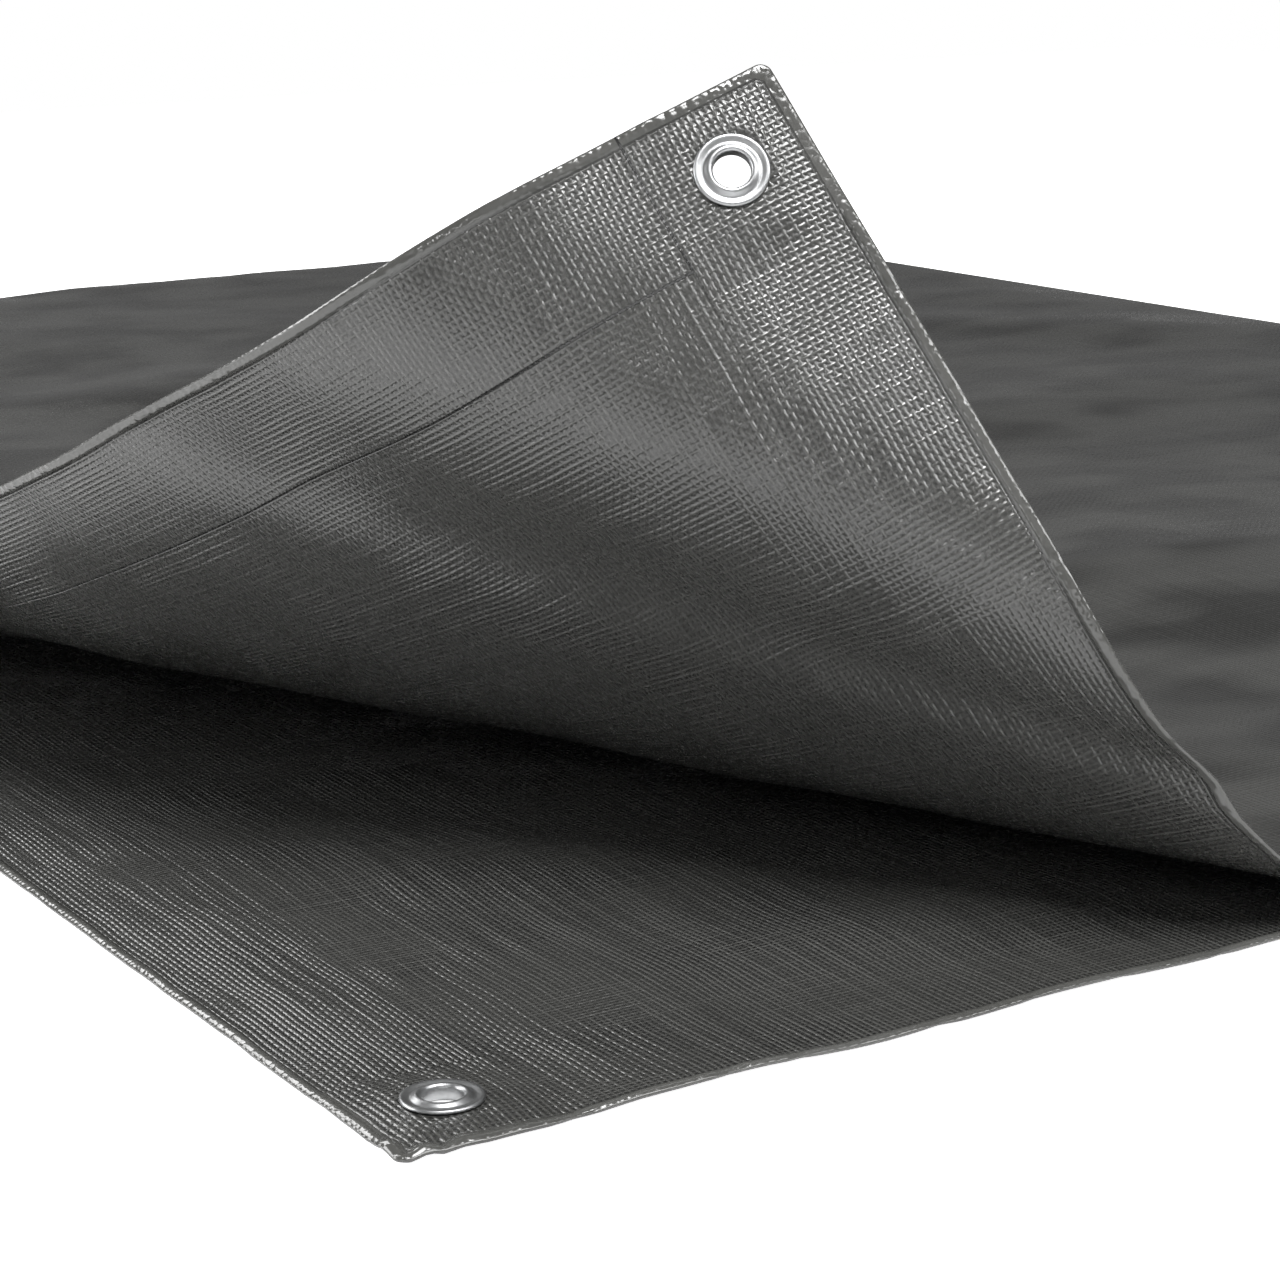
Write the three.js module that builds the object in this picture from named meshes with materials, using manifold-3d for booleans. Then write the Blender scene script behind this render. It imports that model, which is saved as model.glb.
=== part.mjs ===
// A pool cover of coated woven sheet, folded once and lying on the floor, with the near corner of
// its upper layer lifted and curled back. Millimetres, +Z up, origin under the middle of the bounds.
import * as THREE from 'three';
import { mergeVertices } from 'three/addons/utils/BufferGeometryUtils.js';
import Module from 'manifold-3d';

const wasm = await Module();
wasm.setup();

// The cover laid out flat: WIDTH runs across the fold, LENGTH along it
const WIDTH = 2400;
const LENGTH = 1700;

// Thicknesses and widths of the sheet, its welded hem and the rolled bead along its edge.
// The hem is sideWidth wide along the edges that the fold brings together and endWidth along the others
const SHEET_THICK = 2;
const HEM = { sideWidth: 50.5, endWidth: 54, thick: 2.6, step: 3 };
const BEAD = { width: 7, thick: 4 };

// Clearance between pieces that meet
const GAP = 0.3;

// The stack: height of the upper layer's top face above the floor, and where the fold begins
const STACK_HEIGHT = 11;
const FOLD_RADIUS = STACK_HEIGHT / 2;
const FOLD_ARC = Math.PI * FOLD_RADIUS;
const FOLD_START = (WIDTH - FOLD_ARC) / 2;

// The lifted corner is a cone of straight lines that leave one point beside the near edge.
// angle: a line's direction in the flat sheet, in degrees from +X
// bend: how sharply the cone turns at that line, per radian of angle
const CURL = {
  apex: { x: 386, y: -114 },
  rows: [
    { angle: 100, bend: 0 },
    { angle: 110, bend: 1.2 },
    { angle: 118, bend: 4.4 },
    { angle: 126, bend: 1.2 },
    { angle: 138, bend: 0.4 },
    { angle: 147, bend: 7.7 },
    { angle: 154, bend: 0 },
  ],
  lastAngle: 175,
  steps: 150,
};

// Soft ridges where a layer stands off what it lies on.
// x, y: middle, heading: degrees from +X, long and wide: half sizes, rise: height of the crest
const UPPER_RIDGES = [
  { x: 600, y: 380, heading: -4, long: 230, wide: 70, rise: 9 },
  { x: 820, y: 780, heading: 20, long: 330, wide: 110, rise: 7 },
  { x: 1010, y: 1120, heading: -55, long: 300, wide: 90, rise: 6 },
  { x: 480, y: 1180, heading: 8, long: 260, wide: 100, rise: 8 },
];
const LOWER_RIDGES = [
  { x: 130, y: 215, heading: -40, long: 170, wide: 60, rise: 4 },
  { x: 225, y: 75, heading: -8, long: 130, wide: 45, rise: 3 },
];

// The eyelets: a face flange and a back washer joined by a barrel, set in the corner strips
const EYELET = { inset: 27.5, bore: 6, barrel: 6.4, crest: 8, face: 12, washer: 11.6, steps: 28 };
const FACE_RISE = 1.2;
const FACE_SLOPE = { inner: 0.6, outer: 1.4, drop: 0.2, rim: 0.3 };
const WASHER_THICK = 0.9;
const CLAMP = HEM.thick / 2 + GAP;
const HOLE_STEPS = 32;

// A strip on the floor is raised so that its washer stays clear of the floor
const FLOOR_STRIP_RAISE = 1.5;

const CORNERS = [
  { name: 'near_lower', upper: false, far: false },
  { name: 'near_upper', upper: true, far: false },
  { name: 'far_lower', upper: false, far: true },
  { name: 'far_upper', upper: true, far: true },
];

const clothMaterial = new THREE.MeshStandardMaterial({ color: 0x3f4245, roughness: 0.42, metalness: 0 });
const metalMaterial = new THREE.MeshStandardMaterial({ color: 0xb9bcc0, roughness: 0.3, metalness: 1 });

// Shape of the folded sheet

function bendAt(angle) {
  for (let i = 1; i < CURL.rows.length; i += 1) {
    const before = CURL.rows[i - 1];
    const after = CURL.rows[i];
    if (angle <= after.angle) {
      const share = (angle - before.angle) / (after.angle - before.angle);
      return THREE.MathUtils.lerp(before.bend, after.bend, share);
    }
  }
  return 0;
}

// Directions of the cone's lines in space, one for each step of angle in the flat sheet
function coneLines() {
  const firstAngle = CURL.rows[0].angle;
  const stepAngle = (CURL.lastAngle - firstAngle) / CURL.steps;
  const stepTurn = THREE.MathUtils.degToRad(stepAngle);
  const start = THREE.MathUtils.degToRad(firstAngle);
  const line = new THREE.Vector3(Math.cos(start), Math.sin(start), 0);
  const normal = new THREE.Vector3(0, 0, 1);
  const lines = [line.clone()];
  for (let i = 0; i < CURL.steps; i += 1) {
    const axis = normal.clone().addScaledVector(line, bendAt(firstAngle + (i + 0.5) * stepAngle));
    const turn = new THREE.Quaternion().setFromAxisAngle(axis.clone().normalize(), stepTurn * axis.length());
    line.applyQuaternion(turn);
    normal.applyQuaternion(turn);
    lines.push(line.clone());
  }
  return lines;
}

const CONE_LINES = coneLines();

function ridgeHeight(ridges, x, y) {
  let height = 0;
  for (const ridge of ridges) {
    const heading = THREE.MathUtils.degToRad(ridge.heading);
    const dx = x - ridge.x;
    const dy = y - ridge.y;
    const along = (dx * Math.cos(heading) + dy * Math.sin(heading)) / ridge.long;
    const across = (dy * Math.cos(heading) - dx * Math.sin(heading)) / ridge.wide;
    if (Math.abs(along) < 1 && Math.abs(across) < 1) {
      height += ridge.rise * (Math.cos(along * Math.PI / 2) * Math.cos(across * Math.PI / 2)) ** 2;
    }
  }
  return height;
}

// The upper layer's top face, from the place in the flat stack
function upperPoint(x, y) {
  const dx = x - CURL.apex.x;
  const dy = y - CURL.apex.y;
  const firstAngle = CURL.rows[0].angle;
  const angle = THREE.MathUtils.radToDeg(Math.atan2(dy, dx));
  const past = (angle - firstAngle) / (CURL.lastAngle - firstAngle) * CURL.steps;
  if (past <= 0) {
    return new THREE.Vector3(x, y, STACK_HEIGHT + ridgeHeight(UPPER_RIDGES, x, y));
  }
  const step = Math.min(Math.floor(past), CURL.steps - 1);
  const line = CONE_LINES[step].clone().lerp(CONE_LINES[step + 1], past - step);
  line.setLength(Math.hypot(dx, dy));
  return line.add(new THREE.Vector3(CURL.apex.x, CURL.apex.y, STACK_HEIGHT));
}

// The face that lies outside in the fold, from the place u, v in the flat cover
function outerPoint(u, v) {
  if (u <= FOLD_START) {
    return new THREE.Vector3(u, v, ridgeHeight(LOWER_RIDGES, u, v));
  }
  const turned = (u - FOLD_START) / FOLD_RADIUS;
  if (turned < Math.PI) {
    const x = FOLD_START + FOLD_RADIUS * Math.sin(turned);
    return new THREE.Vector3(x, v, FOLD_RADIUS * (1 - Math.cos(turned)));
  }
  return upperPoint(WIDTH - u, v);
}

// Unit vector from the outer face into the sheet
function inwardAt(u, v) {
  const reach = 0.5;
  const alongU = outerPoint(u + reach, v).sub(outerPoint(u - reach, v));
  const alongV = outerPoint(u, v + reach).sub(outerPoint(u, v - reach));
  return alongU.cross(alongV).normalize();
}

function thicknessAt(u, v) {
  const edge = Math.min(u, WIDTH - u, v, LENGTH - v);
  if (edge < BEAD.width) {
    const round = Math.sin(edge / BEAD.width * Math.PI);
    return HEM.thick + (BEAD.thick - HEM.thick) * round;
  }
  const pastHem = Math.min(Math.min(u, WIDTH - u) - HEM.sideWidth, Math.min(v, LENGTH - v) - HEM.endWidth);
  return THREE.MathUtils.lerp(HEM.thick, SHEET_THICK, THREE.MathUtils.clamp(pastHem / HEM.step, 0, 1));
}

// Building closed solids

function solidMesh(name, geometry, material) {
  const mesh = new THREE.Mesh(geometry, material);
  mesh.name = name;
  return mesh;
}

// A closed sheet over the grid us by vs, without the cells that skip names, raised into the fold
function sheetGeometry(us, vs, skip, raise) {
  const positions = [];
  const triangles = [];
  const layerSize = us.length * vs.length;
  for (const layer of [0, 1]) {
    for (const u of us) {
      for (const v of vs) {
        const point = outerPoint(u, v);
        point.addScaledVector(inwardAt(u, v), raise + layer * thicknessAt(u, v));
        positions.push(point.x, point.y, point.z);
      }
    }
  }
  const at = (i, j, layer) => layer * layerSize + i * vs.length + j;
  const kept = (i, j) => {
    const inside = i >= 0 && j >= 0 && i < us.length - 1 && j < vs.length - 1;
    return inside && !skip((us[i] + us[i + 1]) / 2, (vs[j] + vs[j + 1]) / 2);
  };
  const quad = (a, b, c, d) => triangles.push(a, b, c, a, c, d);
  const wall = (i0, j0, i1, j1) => quad(at(i0, j0, 0), at(i1, j1, 0), at(i1, j1, 1), at(i0, j0, 1));
  for (let i = 0; i < us.length - 1; i += 1) {
    for (let j = 0; j < vs.length - 1; j += 1) {
      if (kept(i, j)) {
        quad(at(i, j, 0), at(i, j + 1, 0), at(i + 1, j + 1, 0), at(i + 1, j, 0));
        quad(at(i, j, 1), at(i + 1, j, 1), at(i + 1, j + 1, 1), at(i, j + 1, 1));
        if (!kept(i, j - 1)) wall(i, j, i + 1, j);
        if (!kept(i, j + 1)) wall(i + 1, j + 1, i, j + 1);
        if (!kept(i - 1, j)) wall(i, j + 1, i, j);
        if (!kept(i + 1, j)) wall(i + 1, j, i + 1, j + 1);
      }
    }
  }
  const geometry = new THREE.BufferGeometry();
  geometry.setAttribute('position', new THREE.Float32BufferAttribute(positions, 3));
  geometry.setIndex(triangles);
  const used = mergeVertices(geometry.toNonIndexed());
  used.computeVertexNormals();
  return used;
}

function toManifold(geometry) {
  const bare = geometry.clone();
  bare.deleteAttribute('normal');
  bare.deleteAttribute('uv');
  const merged = mergeVertices(bare);
  const vertProperties = new Float32Array(merged.attributes.position.array);
  const triVerts = new Uint32Array(merged.index.array);
  return new wasm.Manifold(new wasm.Mesh({ numProp: 3, vertProperties, triVerts }));
}

function fromManifold(solid) {
  const { vertProperties, triVerts } = solid.getMesh();
  const geometry = new THREE.BufferGeometry();
  geometry.setAttribute('position', new THREE.Float32BufferAttribute(vertProperties, 3));
  geometry.setIndex(new THREE.Uint32BufferAttribute(triVerts, 1));
  geometry.computeVertexNormals();
  return geometry;
}

// The cover

function spread(from, to, count) {
  return Array.from({ length: count }, (_, i) => from + (to - from) * i / count);
}

function edgeLines(hemWidth) {
  return [0, BEAD.width / 2, BEAD.width, hemWidth];
}

function mirrored(lines, size) {
  return lines.map((line) => size - line).reverse();
}

// The grid is closer where the layers show and where the corner is lifted
const EXPOSED_ACROSS = 330;
const LIFTED_ACROSS = 420;
const LIFTED_ALONG = 490;
const RESTS_ALONG = 1000;

function coverMesh() {
  const sideLines = edgeLines(HEM.sideWidth);
  const endLines = edgeLines(HEM.endWidth);
  const sideEnd = HEM.sideWidth + HEM.step;
  const endEnd = HEM.endWidth + HEM.step;
  const us = [
    ...sideLines,
    ...spread(sideEnd, EXPOSED_ACROSS, 7),
    ...spread(EXPOSED_ACROSS, FOLD_START, 5),
    ...spread(FOLD_START, FOLD_START + FOLD_ARC, 6),
    ...spread(FOLD_START + FOLD_ARC, WIDTH - LIFTED_ACROSS, 8),
    ...spread(WIDTH - LIFTED_ACROSS, WIDTH - sideEnd, 16),
    ...mirrored([...sideLines, sideEnd], WIDTH),
  ];
  const vs = [
    ...endLines,
    ...spread(endEnd, LIFTED_ALONG, 18),
    ...spread(LIFTED_ALONG, RESTS_ALONG, 8),
    ...spread(RESTS_ALONG, LENGTH - endEnd, 7),
    ...mirrored([...endLines, endEnd], LENGTH),
  ];
  const inCorner = (u, v) => {
    return Math.min(u, WIDTH - u) < HEM.sideWidth && Math.min(v, LENGTH - v) < HEM.endWidth;
  };
  return solidMesh('cover', sheetGeometry(us, vs, inCorner, 0), clothMaterial);
}

// The corner strips and their eyelets

function eyeletSeat(corner) {
  const u = corner.upper ? WIDTH - EYELET.inset : EYELET.inset;
  const v = corner.far ? LENGTH - EYELET.inset : EYELET.inset;
  const raise = corner.upper ? 0 : FLOOR_STRIP_RAISE;
  const inward = inwardAt(u, v);
  const middle = outerPoint(u, v).addScaledVector(inward, raise + HEM.thick / 2);
  return { middle, turn: new THREE.Quaternion().setFromUnitVectors(new THREE.Vector3(0, 1, 0), inward) };
}

function stripMesh(corner) {
  const sideLines = edgeLines(HEM.sideWidth - GAP);
  const endLines = edgeLines(HEM.endWidth - GAP);
  const us = corner.upper ? mirrored(sideLines, WIDTH) : sideLines;
  const vs = corner.far ? mirrored(endLines, LENGTH) : endLines;
  const plate = sheetGeometry(us, vs, () => false, corner.upper ? 0 : FLOOR_STRIP_RAISE);
  const seat = eyeletSeat(corner);
  const radius = EYELET.barrel + GAP;
  const drill = new THREE.CylinderGeometry(radius, radius, EYELET.inset, HOLE_STEPS);
  drill.applyQuaternion(seat.turn);
  drill.translate(seat.middle.x, seat.middle.y, seat.middle.z);
  const drilled = toManifold(plate).subtract(toManifold(drill));
  return solidMesh(`corner_strip_${corner.name}`, fromManifold(drilled), clothMaterial);
}

// Half section of an eyelet, radius and height from the strip's middle, closed on itself
function eyeletProfile() {
  const { bore, barrel, crest, face, washer } = EYELET;
  const top = CLAMP + FACE_RISE;
  const bottom = -CLAMP - WASHER_THICK;
  const outline = [
    [barrel, bottom],
    [washer, bottom],
    [washer, -CLAMP],
    [barrel, -CLAMP],
    [barrel, CLAMP],
    [face, CLAMP],
    [face - FACE_SLOPE.rim, CLAMP + FACE_RISE / 2],
    [crest + FACE_SLOPE.outer, top - FACE_SLOPE.drop],
    [crest, top],
    [bore + FACE_SLOPE.inner, top - FACE_SLOPE.drop],
    [bore, CLAMP],
    [bore, -CLAMP],
    [barrel, bottom],
  ];
  return outline.map(([radius, height]) => new THREE.Vector2(radius, height));
}

function eyeletMesh(corner) {
  const seat = eyeletSeat(corner);
  const geometry = new THREE.LatheGeometry(eyeletProfile(), EYELET.steps);
  const mesh = solidMesh(`eyelet_${corner.name}`, geometry, metalMaterial);
  mesh.quaternion.copy(seat.turn);
  mesh.position.copy(seat.middle);
  return mesh;
}

const group = new THREE.Group();
group.add(coverMesh());
for (const corner of CORNERS) {
  group.add(stripMesh(corner));
  group.add(eyeletMesh(corner));
}
group.position.set(-(FOLD_START + FOLD_RADIUS) / 2, -LENGTH / 2, 0);

export default group;
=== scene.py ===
"""Folded pool cover: one coated woven sheet with its hems and rolled edges, its eyelets and the studio."""
import math

import bpy
import numpy as np
from mathutils import Matrix, Vector


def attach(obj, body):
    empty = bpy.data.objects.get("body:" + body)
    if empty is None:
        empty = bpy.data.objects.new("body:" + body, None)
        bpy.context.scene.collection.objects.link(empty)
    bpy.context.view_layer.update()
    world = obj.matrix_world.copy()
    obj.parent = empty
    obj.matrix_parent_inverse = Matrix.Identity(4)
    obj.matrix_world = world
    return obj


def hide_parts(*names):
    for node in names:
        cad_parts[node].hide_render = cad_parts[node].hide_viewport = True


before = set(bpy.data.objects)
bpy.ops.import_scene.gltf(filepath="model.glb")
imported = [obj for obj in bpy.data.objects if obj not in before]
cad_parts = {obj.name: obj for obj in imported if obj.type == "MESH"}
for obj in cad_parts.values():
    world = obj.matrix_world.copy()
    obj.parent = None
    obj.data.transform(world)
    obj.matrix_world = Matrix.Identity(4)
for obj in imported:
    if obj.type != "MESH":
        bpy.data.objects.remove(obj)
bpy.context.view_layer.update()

MM = 0.001

# The cover laid out flat: WIDTH runs across the fold, LENGTH along it
WIDTH = 2400 * MM
LENGTH = 1700 * MM

# Thicknesses and widths of the sheet, its welded hem and the rolled bead along its edge
SHEET_THICK = 0.7 * MM
HEM_U = 50.5 * MM
HEM_V = 54 * MM
HEM_THICK = 0.5 * MM
HEM_STEP = 0.5 * MM
END_HEM_SHARE = 0.4
OVERLAP_SHARE = 1.6
OVERLAP_START = 12 * MM
OVERLAP_FULL = 2 * MM
BEAD_WIDTH = 3.8 * MM
BEAD_THICK = 2.2 * MM
BEAD_POWER = 2
UPPER_BEAD_THICK = 1.7 * MM
UPPER_BEAD_POWER = 4
EDGE_WALL = 0.2 * MM
CORNER_ROUND = 4 * MM

# The stack: height of the upper layer's top face above the floor, and where the fold begins
STACK_HEIGHT = 11 * MM
FOLD_RADIUS = STACK_HEIGHT / 2
FOLD_ARC = math.pi * FOLD_RADIUS
FOLD_START = (WIDTH - FOLD_ARC) / 2
MIDDLE = np.array([(FOLD_START + FOLD_RADIUS) / 2, LENGTH / 2, 0])

# The lifted corner is a cone of straight lines that leave one point beside the near edge.
# Columns: a line's direction in the flat sheet in degrees, how sharply the cone turns there
CURL_APEX = (386 * MM, -114 * MM)
CURL_ROWS = ((100, 0), (110, 1.2), (118, 4.4), (126, 1.2), (138, 0.4), (147, 7.7), (154, 0))
CURL_LAST = 175
CURL_STEPS = 150

# Soft ridges where a layer stands off what it lies on.
# Columns: x, y, heading in degrees, half length, half width, height, all in millimetres but the heading
UPPER_RIDGES = (
    (600, 380, -4, 230, 70, 9),
    (820, 780, 20, 330, 110, 7),
    (1010, 1120, -55, 300, 90, 6),
    (480, 1180, 8, 260, 100, 8),
)
LOWER_RIDGES = (
    (130, 215, -40, 170, 60, 4),
    (225, 75, -8, 130, 45, 3),
)

# The first of the upper ridges has a crease along its crest.
# Its rise, how far its slopes reach in front of the crest and behind it, how round the crest is,
# and how many times as long as the ridge it is
CREASE = {"rise": 12 * MM, "front": 210 * MM, "behind": 330 * MM, "round": 3 * MM, "longer": 1.4}

# A long soft trough runs along the cone's lines across the lifted corner's inner face.
# Its middle line, how far its lower and upper side reach from it, in degrees of the cone, and its depth
TROUGH = {"middle": 135, "below": 3.5, "above": 6.5, "depth": 3.5 * MM}

# Threads pulled tight on the lifted corner's inner face, along the near edge.
# Columns: distance from the near edge, start and end of the thread, half width and height, in millimetres
PULLED_THREADS = ((61, 52, 150, 0.8, 0.18), (73, 60, 105, 0.8, 0.12))
THREAD_RISE = 15
THREAD_FADE = 25

# Pinches in the rolled edge: place along the near edge, half width and depth in millimetres
LOWER_PINCHES = (
    (54, 8, 1.5), (104, 6, 0.8), (129, 6, 1.2), (177, 7, 0.9),
    (212, 5, 0.6), (247, 7, 0.9), (286, 6, 1.0),
)
UPPER_PINCHES = (
    (84, 7, 1.2), (122, 6, 0.8), (185, 6, 0.8),
    (218, 5, 0.6), (250, 6, 0.8), (300, 6, 0.8),
)
PINCH_REACH = 14 * MM
PINCH_FULL = 2 * MM
LOWER_PINCH_SHARE = 0.6
UPPER_PINCH_SHARE = 0.15
PINCH_THINS = 0.5

# The lower near corner is crumpled: place, reach and height of its lumps in millimetres
CRUMPLES = (
    (3, 10, 6, 1.6), (9, 3.5, 5, 2), (15, 5, 5, -1.2),
    (20, 4, 5, 1.4), (4, 18, 6, -0.8), (12, 12, 6, 0.8),
)

# Uneven swells of the cloth: height, length of a wave and seed
LONG_SWELL = (2.0 * MM, 420 * MM, 3)
SHORT_SWELL = (0.8 * MM, 170 * MM, 4)
FINE_SWELL = (0.25 * MM, 85 * MM, 10)
LIFTED_SWELL = (0.8 * MM, 190 * MM, 5)
LIFTED_FINE_SWELL = (0.3 * MM, 60 * MM, 6)
LOWER_SWELL = (0.9 * MM, 120 * MM, 7)
LOWER_FINE_SWELL = (0.2 * MM, 45 * MM, 8)
LOWER_RAISE = 0.4 * MM
CRINKLE = (0.4 * MM, 34 * MM, 9)
CRINKLE_REACH = 16 * MM

# How far from the fold the cloth lies smooth, and the cone's angles between which the corner lifts
FOLD_SMOOTH = 60 * MM
LIFT_START = 103
LIFT_FULL = 118

# The eyelets, set in the doubled hem at each corner; the sheet is drawn flat round each of them
EYELET_INSET = 27.5 * MM
EYELET_FLAT = 13 * MM
EYELET_REACH = 32 * MM
EYELET_STEPS = 64
EYELET_HOLE_HALF = 7.6 * MM
CAD_STRIP_MIDDLE = 1.3 * MM
CAD_FLOOR_RAISE = 1.5 * MM
CORNERS = {
    "near_lower": (False, False),
    "near_upper": (True, False),
    "far_lower": (False, True),
    "far_upper": (True, True),
}

# The camera: place in millimetres, angles in degrees, focal length in pixels of a 1280 pixel frame
CAMERA_PLACE = (-932.4, -1523.5, 327.0)
CAMERA_HEADING = -31.39
CAMERA_PITCH = 13.92
CAMERA_ROLL = -1.12
CAMERA_FOCAL = 3072
FRAME_PIXELS = 1280
SENSOR = 36


# Shape of the folded sheet


def smooth(low, high, value):
    """0 to 1, with soft ends, as the value goes from low to high."""
    share = np.clip((value - low) / (high - low), 0, 1)
    return share * share * (3 - 2 * share)


def cone_lines():
    """Directions of the cone's lines in space, one for each step of angle in the flat sheet."""
    angles, bends = np.array(CURL_ROWS, float).T
    step = (CURL_LAST - angles[0]) / CURL_STEPS
    start = math.radians(angles[0])
    line = Vector((math.cos(start), math.sin(start), 0))
    normal = Vector((0, 0, 1))
    lines = [line.copy()]
    for i in range(CURL_STEPS):
        bend = float(np.interp(angles[0] + (i + 0.5) * step, angles, bends))
        axis = normal + line * bend
        turn = Matrix.Rotation(math.radians(step) * axis.length, 3, axis.normalized())
        line = turn @ line
        normal = turn @ normal
        lines.append(line.copy())
    return np.array(lines)


CONE_LINES = cone_lines()


def cone_angle(x, y):
    return np.degrees(np.arctan2(y - CURL_APEX[1], x - CURL_APEX[0]))


def upper_points(x, y):
    """The upper layer's top face, from the place in the flat stack."""
    first = CURL_ROWS[0][0]
    past = (cone_angle(x, y) - first) / (CURL_LAST - first) * CURL_STEPS
    steps = np.arange(CURL_STEPS + 1)
    line = np.stack([np.interp(past, steps, CONE_LINES[:, k]) for k in range(3)], -1)
    line /= np.linalg.norm(line, axis=-1, keepdims=True)
    reach = np.hypot(x - CURL_APEX[0], y - CURL_APEX[1])
    lifted = line * reach[..., None] + np.array([*CURL_APEX, STACK_HEIGHT])
    flat = np.stack([x, y, np.full_like(x, STACK_HEIGHT)], -1)
    return np.where((past > 0)[..., None], lifted, flat)


def outer_points(u, v):
    """The face that lies outside in the fold, from the place u, v in the flat cover."""
    turned = np.clip((u - FOLD_START) / FOLD_RADIUS, 0, math.pi)
    x = np.minimum(u, FOLD_START) + FOLD_RADIUS * np.sin(turned)
    folded = np.stack([x, v, FOLD_RADIUS * (1 - np.cos(turned))], -1)
    upper = u > FOLD_START + FOLD_ARC
    return np.where(upper[..., None], upper_points(WIDTH - u, v), folded)


def inward_normals(u, v):
    """Unit vectors from the outer face into the sheet."""
    reach = 0.5 * MM
    along_u = outer_points(u + reach, v) - outer_points(u - reach, v)
    along_v = outer_points(u, v + reach) - outer_points(u, v - reach)
    normals = np.cross(along_u, along_v)
    return normals / np.linalg.norm(normals, axis=-1, keepdims=True)


def ridge_heights(rows, x, y):
    total = np.zeros_like(x)
    for middle_x, middle_y, heading, long, wide, height in rows:
        turn = math.radians(heading)
        dx = x - middle_x * MM
        dy = y - middle_y * MM
        along = np.clip((dx * math.cos(turn) + dy * math.sin(turn)) / (long * MM), -1, 1)
        across = np.clip((dy * math.cos(turn) - dx * math.sin(turn)) / (wide * MM), -1, 1)
        total += height * MM * (np.cos(along * math.pi / 2) * np.cos(across * math.pi / 2)) ** 2
    return total


def swell(x, y, size, seed, count=10):
    """An uneven surface of height about -1 to 1: crossing waves about size long."""
    rng = np.random.default_rng(seed)
    total = np.zeros_like(x)
    for heading, phase, stretch in rng.random((count, 3)):
        pitch = size * (0.6 + 0.9 * stretch)
        along = x * math.cos(heading * math.tau) + y * math.sin(heading * math.tau)
        total += np.sin(along / pitch * math.tau + phase * math.tau)
    return total / math.sqrt(count) * 0.75


def edge_distance(u, v):
    return np.minimum(np.minimum(u, WIDTH - u), np.minimum(v, LENGTH - v))


def eyelet_places():
    for name, (upper, far) in CORNERS.items():
        u = WIDTH - EYELET_INSET if upper else EYELET_INSET
        v = LENGTH - EYELET_INSET if far else EYELET_INSET
        yield name, u, v, CAD_STRIP_MIDDLE + (0 if upper else CAD_FLOOR_RAISE)


def thickness(u, v):
    """The hem along the near and far edges lies over the ends of the other hem, and shows most there."""
    edge_u = np.minimum(u, WIDTH - u)
    edge_v = np.minimum(v, LENGTH - v)
    hem_u = smooth(HEM_U + HEM_STEP / 2, HEM_U - HEM_STEP / 2, edge_u)
    hem_v = smooth(HEM_V + HEM_STEP / 2, HEM_V - HEM_STEP / 2, edge_v)
    over = smooth(HEM_U + OVERLAP_START, HEM_U - OVERLAP_FULL, edge_u)
    return SHEET_THICK + HEM_THICK * (hem_u * (1 - hem_v) + hem_v * (END_HEM_SHARE + OVERLAP_SHARE * over))


def crease_height(x, y):
    """Height of the creased ridge: a steep slope in front of its crest and a long one behind."""
    middle_x, middle_y, heading, long, _, _ = UPPER_RIDGES[0]
    turn = math.radians(heading)
    dx = x - middle_x * MM
    dy = y - middle_y * MM
    along = np.clip((dx * math.cos(turn) + dy * math.sin(turn)) / (long * MM * CREASE["longer"]), -1, 1)
    behind = dy * math.cos(turn) - dx * math.sin(turn)
    away = np.hypot(behind, CREASE["round"]) - CREASE["round"]
    share = np.clip(1 - away / np.where(behind < 0, CREASE["front"], CREASE["behind"]), 0, 1)
    return CREASE["rise"] * share * np.cos(along * math.pi / 2) ** 2


def trough_depth(x, y):
    """Depth of the lifted corner's trough."""
    past = cone_angle(x, y) - TROUGH["middle"]
    across = np.clip(past / np.where(past < 0, TROUGH["below"], TROUGH["above"]), -1, 1)
    return TROUGH["depth"] * np.cos(across * math.pi / 2) ** 2


def thread_height(u, v):
    """Height of the pulled threads on the inner face."""
    height = np.zeros_like(u)
    x = WIDTH - u
    for place, start, end, half, rise in PULLED_THREADS:
        across = np.clip(abs(v - place * MM) / (half * MM), 0, 1)
        first = smooth(start * MM, (start + THREAD_RISE) * MM, x)
        last = smooth(end * MM, (end - THREAD_FADE) * MM, x)
        height += rise * MM * np.cos(across * math.pi / 2) ** 2 * (first * last)
    return height


def pinch_depth(u, v):
    """How far the rolled edge is pinched in at u, v."""
    depth = np.zeros_like(u)
    for rows, upper in ((LOWER_PINCHES, False), (UPPER_PINCHES, True)):
        for place, half, deep in rows:
            from_middle = (WIDTH - u if upper else u) - place * MM
            depth += deep * MM * np.exp(-(from_middle / (half * MM / 2)) ** 2)
    return depth * smooth(PINCH_REACH, PINCH_FULL, v)


def round_corners(u, v):
    """Places moved so that the sheet's square corners become round."""
    middle_u = np.clip(u, CORNER_ROUND, WIDTH - CORNER_ROUND)
    middle_v = np.clip(v, CORNER_ROUND, LENGTH - CORNER_ROUND)
    out_u = u - middle_u
    out_v = v - middle_v
    square = np.maximum(abs(out_u), abs(out_v))
    share = square / np.maximum(np.hypot(out_u, out_v), 1e-9)
    return middle_u + out_u * share, middle_v + out_v * share


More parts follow.
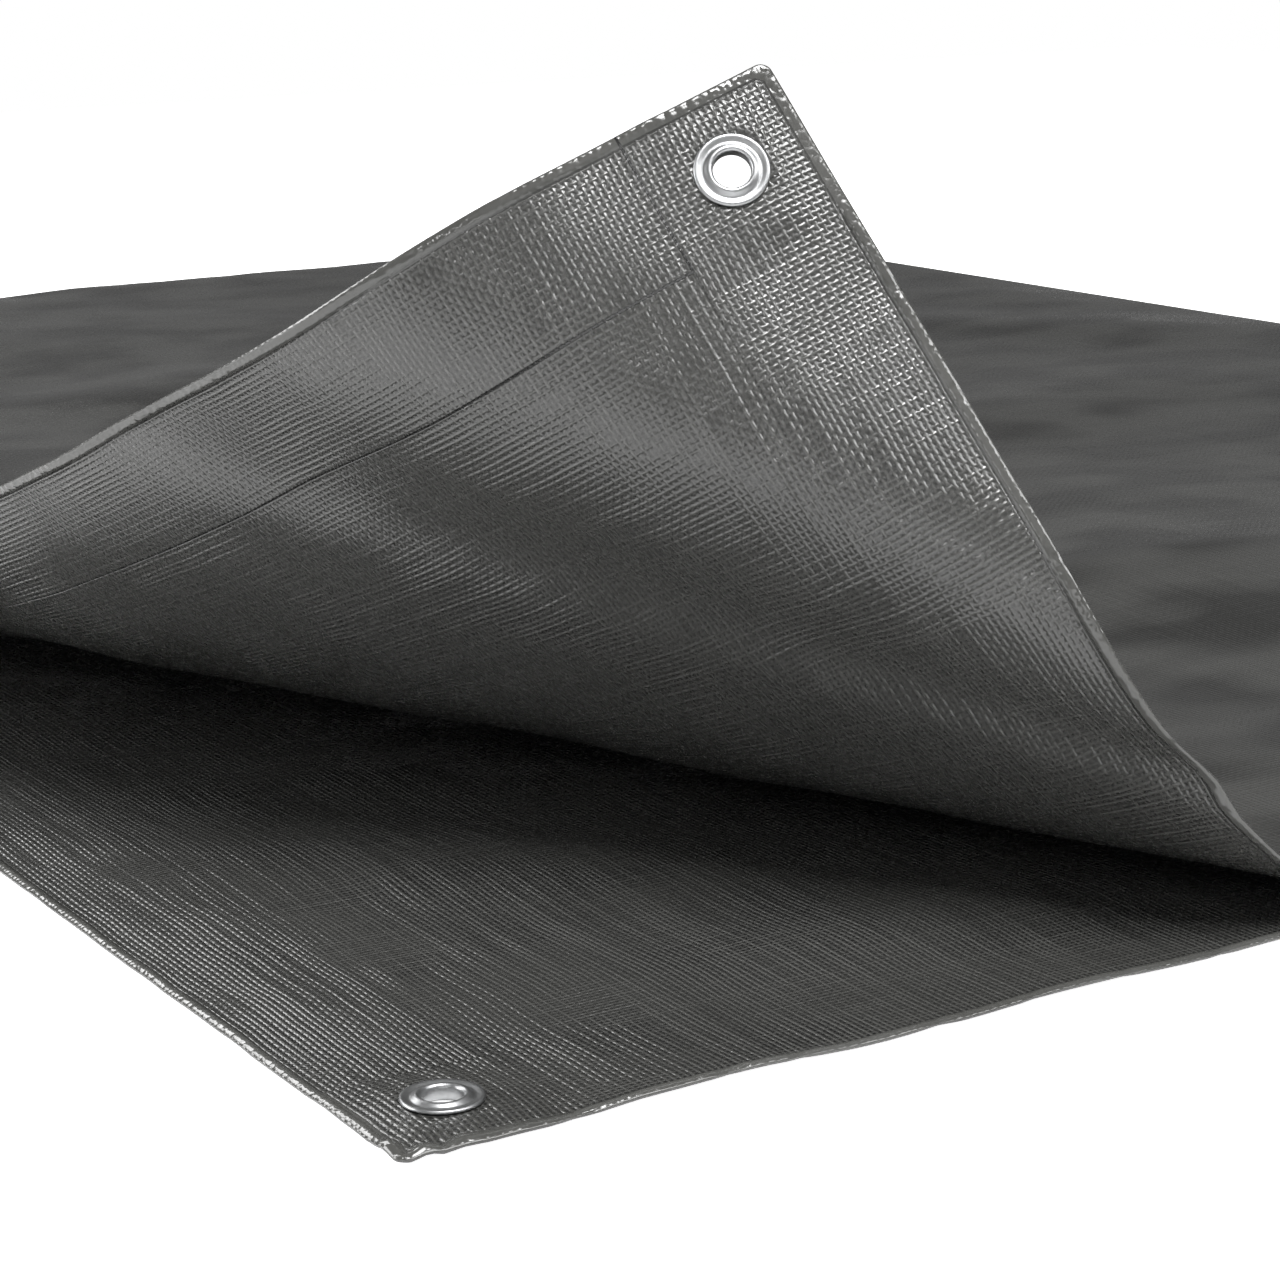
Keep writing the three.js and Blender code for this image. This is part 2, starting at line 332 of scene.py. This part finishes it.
def relief(u, v):
    """How far the outer face stands into the fold from its smooth shape."""
    upper = u > FOLD_START + FOLD_ARC / 2
    x = np.where(upper, WIDTH - u, u)
    away_from_fold = smooth(0, FOLD_SMOOTH, FOLD_START - x)
    lifted = smooth(LIFT_START, LIFT_FULL, cone_angle(x, v)) * upper

    def waves(row, least=None):
        height, length, seed = row
        shape = swell(x, v, length, seed)
        return height * (shape if least is None else np.maximum(shape, least))

    top = ridge_heights(UPPER_RIDGES[1:], x, v)
    top += (waves(LONG_SWELL) + waves(SHORT_SWELL)) * away_from_fold
    top += (crease_height(x, v) + waves(FINE_SWELL)) * away_from_fold
    flap = waves(LIFTED_SWELL) + waves(LIFTED_FINE_SWELL) - trough_depth(x, v)
    floor = ridge_heights(LOWER_RIDGES, x, v)
    floor += waves(LOWER_SWELL, -0.4) + LOWER_RAISE
    floor += waves(LOWER_FINE_SWELL, -0.5)
    shape = np.where(upper, flap * lifted - top * (1 - lifted), floor * away_from_fold)

    # The edges are crinkled where the hem was rolled
    edge = edge_distance(u, v)
    near_edge = smooth(CRINKLE_REACH, 0, edge)
    rise, length, seed = CRINKLE
    crinkle = np.maximum(swell(x, v, length, seed), -0.2) + 0.2
    shape = shape + rise * crinkle * near_edge
    for lump_u, lump_v, reach, height in CRUMPLES:
        away = np.hypot(u - lump_u * MM, v - lump_v * MM) / (reach * MM)
        shape = shape + height * MM * np.maximum(1 - away, 0)

    # The sheet is drawn to the eyelets' middles
    for _, eyelet_u, eyelet_v, middle in eyelet_places():
        near = smooth(EYELET_REACH, EYELET_FLAT, np.hypot(u - eyelet_u, v - eyelet_v))
        shape = shape * (1 - near) + (middle - thickness(eyelet_u, eyelet_v) / 2) * near
    return shape


def bead(edge, thick, power):
    """Rise of the outer face and of the inner face of the rolled bead; a higher power makes it flatter."""
    across = np.clip(edge / BEAD_WIDTH * 2 - 1, -1, 1)
    round_part = np.sqrt(1 - abs(across) ** power)
    outer = np.where(across < 0, 1 - round_part, 0) * thick / 2
    inner = thick / 2 * (1 + round_part)
    return outer, inner


def sheet_faces(u, v):
    """Points of the outer and the inner face of the sheet at u, v."""
    edge = edge_distance(u, v)
    pinch = pinch_depth(u, v)
    full = thickness(u, v) + thread_height(u, v)
    upper = u > WIDTH / 2
    rim_thick = np.where(upper, UPPER_BEAD_THICK, BEAD_THICK)
    rim_outer, rim_inner = bead(edge, rim_thick, np.where(upper, UPPER_BEAD_POWER, BEAD_POWER))
    in_bead = edge < BEAD_WIDTH
    shape = relief(u, v)
    u, v = round_corners(u, v)
    v = v + pinch * np.where(upper, UPPER_PINCH_SHARE, LOWER_PINCH_SHARE)
    base = outer_points(u, v)
    inward = inward_normals(u, v)
    low = shape + np.where(in_bead, rim_outer, 0)
    rolled = np.maximum(np.maximum(rim_inner, full * (edge > BEAD_WIDTH / 2)), rim_outer + EDGE_WALL)
    high = shape + np.where(in_bead, rolled, full) - pinch * PINCH_THINS
    high = np.maximum(high, low + EDGE_WALL)
    outer = base + inward * low[..., None] - MIDDLE
    inner = base + inward * high[..., None] - MIDDLE
    return outer, inner


# Building meshes

# Grid lines across a hem, from the bead to the eyelet and from the eyelet inward, in millimetres
BESIDE_BEAD = (6, 8, 10.5, 14)
BESIDE_EYELET = (39, 44)

# Steps of the grid where the cloth shows closely, where it shows from afar and where it is covered,
# and how far the fine steps reach from the edges
FINE_STEP = 7 * MM
WIDE_STEP = 20 * MM
COVERED_STEP = 90 * MM
HEM_GAP = 3 * MM
LOWER_FINE = 340 * MM
UPPER_FINE = 440 * MM
NEAR_FINE = 520 * MM


def lines_between(*stops):
    """Grid lines through the stops, given as place and step to the next stop."""
    lines = []
    for (start, step), (end, _) in zip(stops, stops[1:]):
        count = max(1, round((end - start) / step))
        lines.extend(start + (end - start) * i / count for i in range(count))
    return lines


def edge_lines(hem):
    """Grid lines across a hem, closest together on the round of the bead and at the hem's inner edge."""
    steps = 8
    lines = [BEAD_WIDTH / 2 * (1 - math.cos(math.pi * i / steps)) for i in range(steps + 1)]
    lines += [place * MM for place in BESIDE_BEAD]
    lines += [EYELET_INSET - EYELET_HOLE_HALF, EYELET_INSET, EYELET_INSET + EYELET_HOLE_HALF]
    lines += [place * MM for place in BESIDE_EYELET]
    lines += [hem - HEM_STEP * 1.5, hem - HEM_STEP / 2, hem, hem + HEM_STEP / 2, hem + HEM_STEP * 1.5]
    return lines


def with_extra(lines, extra):
    """Grid lines with the extra ones in place of those close to them."""
    clear = 0.9 * MM
    kept = [line for line in lines if min(abs(line - place) for place in extra) > clear]
    return sorted(kept + extra)


def pinch_lines(rows):
    return [(place + half * share) * MM for place, half, _ in rows for share in (-1, -0.45, 0, 0.45, 1)]


def sheet_grid():
    rim_u = edge_lines(HEM_U)
    rim_v = edge_lines(HEM_V)
    fold_end = FOLD_START + FOLD_ARC
    last_u = WIDTH - rim_u[-1] - HEM_GAP
    last_v = LENGTH - rim_v[-1] - HEM_GAP
    lower = rim_u + lines_between(
        (rim_u[-1] + HEM_GAP, FINE_STEP), (LOWER_FINE, COVERED_STEP),
        (FOLD_START, FOLD_ARC / 8), (fold_end, 0))
    upper = lines_between((fold_end, WIDE_STEP), (WIDTH - UPPER_FINE, FINE_STEP), (last_u, 0))
    upper += [last_u] + [WIDTH - line for line in reversed(rim_u)]
    us = with_extra(lower, pinch_lines(LOWER_PINCHES))
    us += with_extra(upper, [WIDTH - place for place in pinch_lines(UPPER_PINCHES)])
    threads = [(row[0] + row[3] * share) * MM for row in PULLED_THREADS for share in (-1, -0.5, 0, 0.5, 1)]
    vs = rim_v + lines_between((rim_v[-1] + HEM_GAP, FINE_STEP), (NEAR_FINE, WIDE_STEP), (last_v, 0))
    vs += [last_v] + [LENGTH - line for line in reversed(rim_v)]
    vs = with_extra(vs, threads)
    return np.array(us), np.array(vs)


def cover_mesh():
    us, vs = sheet_grid()
    u, v = np.meshgrid(us, vs, indexing="ij")
    outer, inner = sheet_faces(u, v)
    points = np.concatenate([outer.reshape(-1, 3), inner.reshape(-1, 3)])
    rows, columns = u.shape
    index = np.arange(u.size).reshape(rows, columns)

    # Cells under an eyelet's barrel are left out
    cell_u = (us[1:] + us[:-1])[:, None] / 2
    cell_v = (vs[1:] + vs[:-1])[None, :] / 2
    kept = np.ones((rows - 1, columns - 1), bool)
    for _, eyelet_u, eyelet_v, _ in eyelet_places():
        away = np.maximum(abs(cell_u - eyelet_u), abs(cell_v - eyelet_v))
        kept &= away > EYELET_HOLE_HALF
    a, b = index[:-1, :-1], index[1:, :-1]
    c, d = index[1:, 1:], index[:-1, 1:]
    shift = u.size
    quads = [np.stack([a, d, c, b], -1)[kept], np.stack([a, b, c, d], -1)[kept] + shift]

    # Walls close the sheet along every side of a kept cell that has no kept neighbour
    framed = np.pad(kept, 1)
    sides = (
        (framed[1:-1, :-2], a, b),
        (framed[1:-1, 2:], c, d),
        (framed[:-2, 1:-1], d, a),
        (framed[2:, 1:-1], b, c),
    )
    for neighbour, start, end in sides:
        bare = kept & ~neighbour
        s, e = start[bare], end[bare]
        quads.append(np.stack([s, e, e + shift, s + shift], -1))
    faces = np.concatenate(quads)

    mesh = bpy.data.meshes.new("cover_sheet")
    used, compact = np.unique(faces, return_inverse=True)
    mesh.from_pydata(points[used], [], compact.reshape(faces.shape))
    flat_place = np.stack([np.tile(u.ravel(), 2), np.tile(v.ravel(), 2)], -1)[used]
    uv = mesh.uv_layers.new(name="flat_metres")
    corners = np.empty(len(mesh.loops), np.int32)
    mesh.loops.foreach_get("vertex_index", corners)
    uv.data.foreach_set("uv", flat_place[corners].astype(np.float32).ravel())
    edge = edge_distance(flat_place[:, 0], flat_place[:, 1])
    inside = np.repeat([0, 1], u.size)[used]
    for name, values in (("edge", edge), ("inside", inside)):
        attribute = mesh.attributes.new(name, "FLOAT", "POINT")
        attribute.data.foreach_set("value", values.astype(np.float32))
    mesh.shade_smooth()
    return mesh


# Half section of an eyelet: radius and height from the sheet's middle, in millimetres, closed on itself
EYELET_SECTION = (
    (6.4, 0.95), (11.4, 0.95), (11.9, 1.1), (12.05, 1.5), (11.9, 1.95), (11.4, 2.15),
    (10.6, 2.05), (9.8, 1.75), (9.2, 1.65), (8.6, 1.9), (7.9, 2.45), (7.2, 2.75),
    (6.6, 2.6), (6.15, 2.15), (6.0, 1.5), (6.0, -1.2), (6.2, -1.9), (6.8, -2.3),
    (7.8, -2.4), (11.2, -2.0), (11.6, -1.7), (11.6, -1.3), (11.2, -0.95), (6.4, -0.95),
)


def ring_mesh():
    """One eyelet in millimetres, its section turned about Z."""
    section = np.array(EYELET_SECTION)
    turns = np.arange(EYELET_STEPS) / EYELET_STEPS * math.tau
    points = np.stack([
        np.outer(np.cos(turns), section[:, 0]),
        np.outer(np.sin(turns), section[:, 0]),
        np.tile(section[:, 1], (EYELET_STEPS, 1)),
    ], -1).reshape(-1, 3)
    index = np.arange(len(points)).reshape(EYELET_STEPS, len(section))
    after = np.roll(index, -1, 0)
    faces = np.stack([index, after, np.roll(after, -1, 1), np.roll(index, -1, 1)], -1).reshape(-1, 4)
    mesh = bpy.data.meshes.new("eyelet_ring")
    mesh.from_pydata(points, [], faces)
    mesh.shade_smooth()
    return mesh


def eyelet_points():
    """A point in the sheet's middle for each eyelet, with the turn that sets Z square to the sheet there."""
    points = []
    turns = []
    for _, u, v, middle in eyelet_places():
        place = np.array([u]), np.array([v])
        inward = inward_normals(*place)[0]
        points.append(outer_points(*place)[0] + inward * middle - MIDDLE)
        turns.extend(Vector((0, 0, 1)).rotation_difference(Vector(inward)))
    mesh = bpy.data.meshes.new("eyelet_points")
    mesh.from_pydata(points, [], [])
    mesh.attributes.new("turn", "QUATERNION", "POINT").data.foreach_set("value", turns)
    return mesh


def rings_on_points():
    """A node tree that stands a ring on every point; also the identifiers of its inputs."""
    tree = bpy.data.node_groups.new("rings_on_points", "GeometryNodeTree")
    inputs = {}
    for name, kind in (("Places", "Geometry"), ("Ring", "Object"), ("Size", "Float"), ("Finish", "Material")):
        socket = tree.interface.new_socket(name, in_out="INPUT", socket_type=f"NodeSocket{kind}")
        inputs[name] = socket.identifier
    tree.interface.new_socket("Rings", in_out="OUTPUT", socket_type="NodeSocketGeometry")
    given = add_node(tree, "NodeGroupInput").outputs
    ring = add_node(tree, "GeometryNodeObjectInfo", {"Object": given["Ring"]})
    turn = add_node(tree, "GeometryNodeInputNamedAttribute", {"Name": "turn"}, data_type="QUATERNION")
    rings = add_node(tree, "GeometryNodeInstanceOnPoints", {
        "Points": given["Places"],
        "Instance": ring.outputs["Geometry"],
        "Rotation": turn.outputs["Attribute"],
        "Scale": given["Size"],
    })
    whole = add_node(tree, "GeometryNodeRealizeInstances", {"Geometry": rings.outputs[0]})
    finished = add_node(tree, "GeometryNodeSetMaterial", {
        "Geometry": whole.outputs[0],
        "Material": given["Finish"],
    })
    add_node(tree, "NodeGroupOutput", {"Rings": finished.outputs[0]})
    return tree, inputs


def add_eyelets(finish):
    """All eyelets as one plain mesh, a ring on each of their points."""
    ring = add_object("eyelet_ring", ring_mesh())
    places = add_object("eyelet_places", eyelet_points())
    tree, inputs = rings_on_points()
    modifier = places.modifiers.new("rings", "NODES")
    modifier.node_group = tree
    modifier[inputs["Ring"]] = ring
    modifier[inputs["Size"]] = MM
    modifier[inputs["Finish"]] = finish
    evaluated = places.evaluated_get(bpy.context.evaluated_depsgraph_get())
    mesh = bpy.data.meshes.new_from_object(evaluated)
    mesh.name = "eyelets"
    for helper in (places, ring):
        bpy.data.objects.remove(helper)
    return add_object("eyelets", mesh)


def add_object(name, mesh, material=None):
    piece = bpy.data.objects.new(name, mesh)
    bpy.context.scene.collection.objects.link(piece)
    if material:
        mesh.materials.append(material)
    return piece


# Materials


def colour(hex_value):
    """An sRGB hex colour as linear RGBA."""
    parts = [int(hex_value[i:i + 2], 16) / 255 for i in (1, 3, 5)]
    linear = [p / 12.92 if p <= 0.04045 else ((p + 0.055) / 1.055) ** 2.4 for p in parts]
    return (*linear, 1)


def add_node(tree, kind, links=None, **settings):
    """One node with its settings; links maps an input to a value or to another node's output."""
    node = tree.nodes.new(kind)
    for name, value in settings.items():
        setattr(node, name, value)
    for name, value in (links or {}).items():
        if isinstance(value, bpy.types.NodeSocket):
            tree.links.new(value, node.inputs[name])
        else:
            node.inputs[name].default_value = value
    return node


def new_material(name):
    material = bpy.data.materials.new(name)
    material.use_nodes = True
    material.node_tree.nodes.clear()
    return material, material.node_tree


# Woven polyethylene tapes about 2 mm apart both ways, under a film of glossy coating.
# They give the eye the fine grid of ribs that glint where the light comes across them
TAPE_PITCH = (2.1 * MM, 2.0 * MM)
TAPE_LENGTH = 90 * MM
TAPE_WIDTH = 2 * MM
WANDER_SIZE = 26 * MM
WAY_SIZE = 48 * MM
PATCH_SIZE = (85 * MM, 60 * MM)
FILM_SIZE = 2 * MM
WEAVE_DEPTH = 0.32 * MM
# Half width of the seam lines, which are a shallow groove and painted shadow
SEAM_SHADOW_HALF = 0.6 * MM
OUTER_FACE = "#2b2b2a"
INNER_FACE = "#434341"
THIN_FILM = "#51514f"
# Painted shade for the gaps between tapes and for the seam lines
TAPE_GAP_SHADE = "#161616"


def coated_tape_cloth():
    material, tree = new_material("coated_polyethylene_tape_cloth")

    def maths(operation, first, second=0.5, third=0.5):
        links = {0: first, 1: second, 2: third}
        return add_node(tree, "ShaderNodeMath", links, operation=operation).outputs[0]

    def stretch(vector, across_u, across_v):
        scale = (1 / across_u, 1 / across_v, 1)
        return add_node(tree, "ShaderNodeMapping", {"Vector": vector, "Scale": scale}).outputs[0]

    def noise(vector, detail=0):
        return add_node(tree, "ShaderNodeTexNoise", {"Vector": vector, "Scale": 1, "Detail": detail}).outputs

    def between(value, low, high, start=0, end=1):
        links = {"Value": value, "From Min": low, "From Max": high, "To Min": start, "To Max": end}
        return add_node(tree, "ShaderNodeMapRange", links).outputs[0]

    flat = add_node(tree, "ShaderNodeUVMap", uv_map="flat_metres").outputs["UV"]
    edge = add_node(tree, "ShaderNodeAttribute", attribute_name="edge").outputs["Fac"]
    inside = add_node(tree, "ShaderNodeAttribute", attribute_name="inside").outputs["Fac"]
    place_u, place_v, _ = add_node(tree, "ShaderNodeSeparateXYZ", {0: flat}).outputs
    upper = maths("GREATER_THAN", place_u, WIDTH / 2)
    hem = between(edge, HEM_V, HEM_U)
    past_bead = between(edge, BEAD_WIDTH, BEAD_WIDTH * 1.3)

    # Fine lines where a hem's inner edge ends and where the bead meets the cloth: a shallow groove in the
    # bump, and painted shadow in the colour
    def line(value, place):
        away = maths("ABSOLUTE", maths("SUBTRACT", value, place))
        return between(away, SEAM_SHADOW_HALF / 2, SEAM_SHADOW_HALF, 1, 0)

    edge_u = maths("MINIMUM", place_u, maths("SUBTRACT", WIDTH, place_u))
    edge_v = maths("MINIMUM", place_v, maths("SUBTRACT", LENGTH, place_v))
    side_seam_shadow = maths("MULTIPLY", line(edge_u, HEM_U), maths("GREATER_THAN", edge_v, HEM_V))
    end_seam_shadow = maths("MULTIPLY", line(edge_v, HEM_V), maths("LESS_THAN", edge_u, HEM_U))
    bead_seam_shadow = maths("MULTIPLY", line(edge, BEAD_WIDTH * 1.15), 0.6)
    seam_shadows = maths("MAXIMUM", maths("MAXIMUM", side_seam_shadow, end_seam_shadow), bead_seam_shadow)
    seam_shadow = maths("MULTIPLY", maths("MULTIPLY", seam_shadows, inside), maths("MULTIPLY_ADD", upper, 0.5, 0.4))

    # The tapes wander a little, so the weave isn't ruled
    wander = maths("MULTIPLY_ADD", noise(stretch(flat, WANDER_SIZE, WANDER_SIZE))["Fac"], 0.6, -0.3)
    ruled = stretch(flat, *TAPE_PITCH)
    tapes = add_node(tree, "ShaderNodeVectorMath", {0: ruled, 1: wander}, operation="ADD")
    x, y, _ = add_node(tree, "ShaderNodeSeparateXYZ", {0: tapes.outputs[0]}).outputs
    wave_x = maths("SINE", maths("MULTIPLY", x, math.pi))
    wave_y = maths("SINE", maths("MULTIPLY", y, math.pi))

    # Each tape is a low round rib that passes over and under the others, some drawn tighter than their
    # neighbours, and in broad patches the tapes of one way stand out more than those of the other
    over = maths("MULTIPLY", wave_x, wave_y)
    rib_x = maths("MULTIPLY", wave_x, wave_x)
    rib_y = maths("MULTIPLY", wave_y, wave_y)
    way = maths("MULTIPLY_ADD", upper, 0.2, noise(stretch(flat, WAY_SIZE, WAY_SIZE))["Fac"])
    way = maths("SUBTRACT", way, 0.14)
    drawn_u = between(noise(stretch(flat, TAPE_LENGTH, TAPE_WIDTH))["Fac"], 0.35, 0.65, 0.7, 1.3)
    drawn_v = between(noise(stretch(flat, TAPE_WIDTH, TAPE_LENGTH))["Fac"], 0.35, 0.65, 0.7, 1.3)
    tight_u = maths("MULTIPLY", drawn_u, between(way, 0.36, 0.6, 0.5, 1))
    tight_v = maths("MULTIPLY", drawn_v, between(way, 0.64, 0.4, 0.5, 1))
    tape_u = maths("MULTIPLY", maths("MULTIPLY", rib_y, maths("MULTIPLY_ADD", over, 0.25, 0.75)), tight_u)
    tape_v = maths("MULTIPLY", maths("MULTIPLY", rib_x, maths("MULTIPLY_ADD", over, -0.2, 0.8)), tight_v)
    weave = maths("SMOOTH_MAX", tape_u, tape_v, 0.15)

    # Where the film lies thick it fills the weave, in soft patches; the hems are pressed hardest
    patches = noise(stretch(flat, *PATCH_SIZE), 1)["Fac"]
    filled = between(patches, 0.38, 0.6, 0.7, 1)
    pressed = maths("MULTIPLY", maths("MAXIMUM", filled, maths("MULTIPLY", hem, 0.8)), past_bead)
    side = maths("MULTIPLY_ADD", inside, 0.6, maths("MULTIPLY_ADD", upper, -0.4, 0.8))
    depth = maths("MULTIPLY", pressed, side)
    film = noise(stretch(flat, FILM_SIZE, FILM_SIZE))["Fac"]
    woven = maths("MULTIPLY_ADD", film, 0.03, maths("MULTIPLY", weave, depth))
    woven = maths("MULTIPLY_ADD", seam_shadow, -0.9, woven)

    # The rolled edge is film only, gathered into fine wrinkles
    wrinkles = maths("MULTIPLY", film, 0.8)
    height = add_node(tree, "ShaderNodeMix", {0: past_bead, 2: wrinkles, 3: woven}).outputs[0]
    bump = add_node(tree, "ShaderNodeBump", {"Height": height, "Strength": 1, "Distance": WEAVE_DEPTH})

    def mix(share, first, second):
        links = {0: share, 6: first, 7: second}
        return add_node(tree, "ShaderNodeMix", links, data_type="RGBA").outputs[2]

    # The outer face is darker than the inner one; the gaps between tapes get painted shade, and the seam
    # lines painted shadow
    face = mix(inside, colour(OUTER_FACE), colour(INNER_FACE))
    plain = mix(between(patches, 0.4, 0.6, 0, 0.5), face, colour(THIN_FILM))
    gap_shade = maths("MULTIPLY", between(weave, 0.1, 0.75, 0.75, 0), depth)
    gap_shade = maths("MAXIMUM", gap_shade, seam_shadow)
    shade = mix(gap_shade, plain, colour(TAPE_GAP_SHADE))
    gloss = maths("MULTIPLY_ADD", past_bead, 0.1, between(film, 0.3, 0.7, 0.1, 0.22))
    surface = add_node(tree, "ShaderNodeBsdfPrincipled", {
        "Base Color": shade,
        "Roughness": gloss,
        "IOR": 1.5,
        "Coat Weight": 0.5,
        "Coat Roughness": 0.12,
        "Normal": bump.outputs[0],
        "Coat Normal": bump.outputs[0],
    })
    add_node(tree, "ShaderNodeOutputMaterial", {"Surface": surface.outputs[0]})
    return material


def rolled_aluminium():
    """Bare aluminium rolled in a press: a bright ring with soft satin highlights round its groove."""
    material, tree = new_material("rolled_aluminium")
    place = add_node(tree, "ShaderNodeTexCoord").outputs["Object"]
    satin = add_node(tree, "ShaderNodeTexNoise", {"Vector": place, "Scale": 1400, "Detail": 3}).outputs["Fac"]
    bump = add_node(tree, "ShaderNodeBump", {"Height": satin, "Strength": 0.25, "Distance": 0.05 * MM})
    gloss = add_node(tree, "ShaderNodeMapRange", {"Value": satin, "To Min": 0.28, "To Max": 0.44})
    surface = add_node(tree, "ShaderNodeBsdfPrincipled", {
        "Base Color": colour("#a6a7a8"),
        "Metallic": 1,
        "Roughness": gloss.outputs[0],
        "Normal": bump.outputs[0],
    })
    add_node(tree, "ShaderNodeOutputMaterial", {"Surface": surface.outputs[0]})
    return material


def pale_floor_finish():
    """Matt white floor, which the camera sees a little brighter than its light makes it."""
    material, tree = new_material("pale_studio_floor")
    seen = add_node(tree, "ShaderNodeLightPath").outputs["Is Camera Ray"]
    glow = add_node(tree, "ShaderNodeMath", {0: seen, 1: FLOOR_GLOW}, operation="MULTIPLY").outputs[0]
    white = add_node(tree, "ShaderNodeBsdfDiffuse", {"Color": colour("#f4f4f4")}).outputs[0]
    bright = add_node(tree, "ShaderNodeEmission", {"Strength": glow}).outputs[0]
    both = add_node(tree, "ShaderNodeAddShader", {0: white, 1: bright}).outputs[0]
    add_node(tree, "ShaderNodeOutputMaterial", {"Surface": both})
    return material


# The studio

# Brightness of the surroundings by the sine of the height above the horizon
SKY_STOPS = ((0.0, 0.18), (0.25, 0.15), (0.34, 0.04), (1.0, 0.0))

# The floor looks this much brighter to the camera than its light makes it
FLOOR_GLOW = 1.0

# Columns: name, place and aim in metres, width and height in metres, power in watts
LAMPS = (
    ("over_softbox", (-0.3, -1.3, 2.5), (-0.4, -0.7, 0), (1.3, 1.3), 84),
    ("right_softbox", (0.7, -2.4, 1.8), (-0.4, -0.7, 0), (1.2, 1.0), 28),
    ("left_softbox", (-2.2, 0.9, 1.2), (-0.4, -0.3, 0), (1.4, 1.2), 36),
    ("front_softbox", (-1.3, -2.3, 1.6), (-0.4, -0.7, 0.15), (1.5, 1.0), 2),
    ("low_softbox", (-1.6, -2.6, 0.5), (-0.4, -0.7, 0.1), (1.2, 0.5), 4),
    ("left_strip", (-2.5, 0.2, 0.6), (-0.4, -0.5, 0.1), (0.6, 1.2), 15),
    ("back_strip", (-0.6, 1.4, 1.4), (-0.6, -0.7, 0), (1.6, 0.6), 18),
    ("high_glint_lamp", (-0.9, -1.6, 2.4), (-0.4, -0.7, 0.15), (0.5, 0.2), 12),
    ("right_glint_lamp", (-0.15, -2.17, 1.81), (-0.4, -0.75, 0.15), (0.3, 0.3), 4),
    ("left_glint_lamp", (-2.09, -1.81, 1.08), (-0.4, -0.75, 0.15), (0.3, 0.3), 3),
)


def add_floor():
    half = 3
    below = -0.3 * MM
    mesh = bpy.data.meshes.new("studio_floor")
    corners = [(-half, -half, below), (half, -half, below), (half, half, below), (-half, half, below)]
    mesh.from_pydata(corners, [], [(0, 1, 2, 3)])
    add_object("studio_floor", mesh, pale_floor_finish())


def add_light(name, place, aim, size, power):
    lamp = bpy.data.lights.new(name, "AREA")
    lamp.shape = "RECTANGLE"
    lamp.size, lamp.size_y = size
    lamp.energy = power
    holder = bpy.data.objects.new(name, lamp)
    holder.location = place
    holder.rotation_euler = (Vector(aim) - Vector(place)).to_track_quat("-Z", "Y").to_euler()
    bpy.context.scene.collection.objects.link(holder)


def add_world():
    """A dim horizon under a dark ceiling; the camera itself sees white."""
    world = bpy.data.worlds.new("studio")
    world.use_nodes = True
    tree = world.node_tree
    tree.nodes.clear()
    way = add_node(tree, "ShaderNodeTexCoord").outputs["Generated"]
    up = add_node(tree, "ShaderNodeSeparateXYZ", {0: way}).outputs["Z"]
    ramp = add_node(tree, "ShaderNodeValToRGB", {0: up})
    top = max(level for _, level in SKY_STOPS)
    for place, _ in SKY_STOPS[1:-1]:
        ramp.color_ramp.elements.new(place)
    for stop, (place, level) in zip(ramp.color_ramp.elements, SKY_STOPS):
        stop.position = place
        stop.color = (level / top, level / top, level / top, 1)
    lit = add_node(tree, "ShaderNodeBackground", {"Color": ramp.outputs[0], "Strength": top})
    white = add_node(tree, "ShaderNodeBackground", {"Color": (1, 1, 1, 1), "Strength": 1.0})
    seen = add_node(tree, "ShaderNodeLightPath").outputs["Is Camera Ray"]
    both = add_node(tree, "ShaderNodeMixShader", {0: seen, 1: lit.outputs[0], 2: white.outputs[0]})
    add_node(tree, "ShaderNodeOutputWorld", {"Surface": both.outputs[0]})
    bpy.context.scene.world = world


def add_camera():
    camera = bpy.data.cameras.new("camera")
    camera.sensor_width = SENSOR
    camera.lens = CAMERA_FOCAL / FRAME_PIXELS * SENSOR
    holder = bpy.data.objects.new("camera", camera)
    turn = Matrix.Rotation(math.radians(CAMERA_HEADING), 4, "Z")
    turn @= Matrix.Rotation(math.radians(90 - CAMERA_PITCH), 4, "X")
    turn @= Matrix.Rotation(math.radians(CAMERA_ROLL), 4, "Z")
    holder.matrix_world = Matrix.Translation(Vector(CAMERA_PLACE) * MM) @ turn
    bpy.context.scene.collection.objects.link(holder)
    bpy.context.scene.camera = holder


add_camera()
add_world()
add_floor()
for lamp_row in LAMPS:
    add_light(*lamp_row)
bpy.context.scene.view_settings.view_transform = "Standard"

eyelets = add_eyelets(rolled_aluminium())
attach(eyelets, "root")
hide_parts(*(f"eyelet_{name}" for name in CORNERS))

cover = add_object("cover_sheet", cover_mesh(), coated_tape_cloth())
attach(cover, "root")
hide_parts("cover", *(f"corner_strip_{name}" for name in CORNERS))
